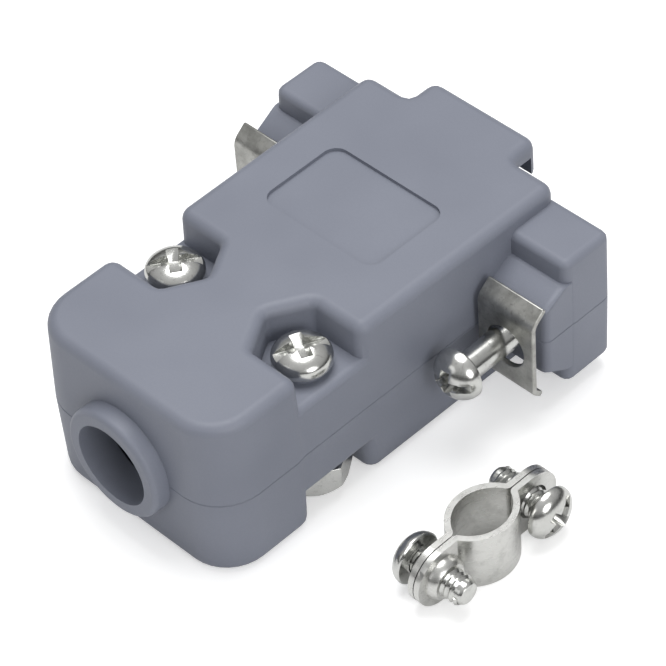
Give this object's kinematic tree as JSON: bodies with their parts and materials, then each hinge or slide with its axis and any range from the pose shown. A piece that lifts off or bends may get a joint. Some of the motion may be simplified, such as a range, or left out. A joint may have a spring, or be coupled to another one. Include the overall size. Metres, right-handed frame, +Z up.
{
  "type": "d-sub connector hood",
  "caption": "Moulded two-part hood for a D-shaped connector, with screw notches, drawn-out jack screws on slotted ears, a round cable outlet, and a metal cable clamp lying beside it.",
  "frame": {"origin": "on the mating axis, in the plane of the ears' front faces that seats the connector flange", "axes": "+Y towards the mating connector, +Z up through the upper shell, +X towards the side where the loose clamp stands; the shells part at Z = 0"},
  "size_m": [0.0403, 0.0401, 0.0151],
  "materials": {
    "shell_plastic": "fine moulded texture",
    "screw_steel": "bright nickel plated steel",
    "clip_steel": "dull mottled zinc plated steel",
    "clamp_steel": "bright nickel plated steel"
  },
  "bodies": {
    "hood": {"upper_shell": "shell_plastic", "lower_shell": "shell_plastic", "case_screw_left": "screw_steel", "case_screw_right": "screw_steel", "case_nut_left": "screw_steel", "case_nut_right": "screw_steel", "clamp_strap_front": "clamp_steel", "clamp_strap_back": "clamp_steel", "clamp_screw_front": "screw_steel", "clamp_screw_back": "screw_steel"},
    "left_screw": {"jack_screw_left": "screw_steel"},
    "right_screw": {"jack_screw_right": "screw_steel"},
    "left_clip": {"jack_clip_left": "clip_steel"},
    "right_clip": {"jack_clip_right": "clip_steel"}
  },
  "joints": [
    {"name": "left_screw_slide", "type": "slide", "parent": "hood", "child": "left_screw", "axis": [0, 1, 0], "range_m": [0, 0.0055]},
    {"name": "left_clip_slide", "type": "slide", "parent": "hood", "child": "left_clip", "axis": [0, 1, 0], "range_m": [0, 0.0015]},
    {"name": "right_screw_slide", "type": "slide", "parent": "hood", "child": "right_screw", "axis": [0, 1, 0], "range_m": [0, 0.0055]},
    {"name": "right_clip_slide", "type": "slide", "parent": "hood", "child": "right_clip", "axis": [0, 1, 0], "range_m": [0, 0.0015]}
  ],
  "couplings": [
    {"joint": "left_clip_slide", "follows": "left_screw_slide", "ratio": 0.272},
    {"joint": "right_clip_slide", "follows": "right_screw_slide", "ratio": 0.272}
  ]
}
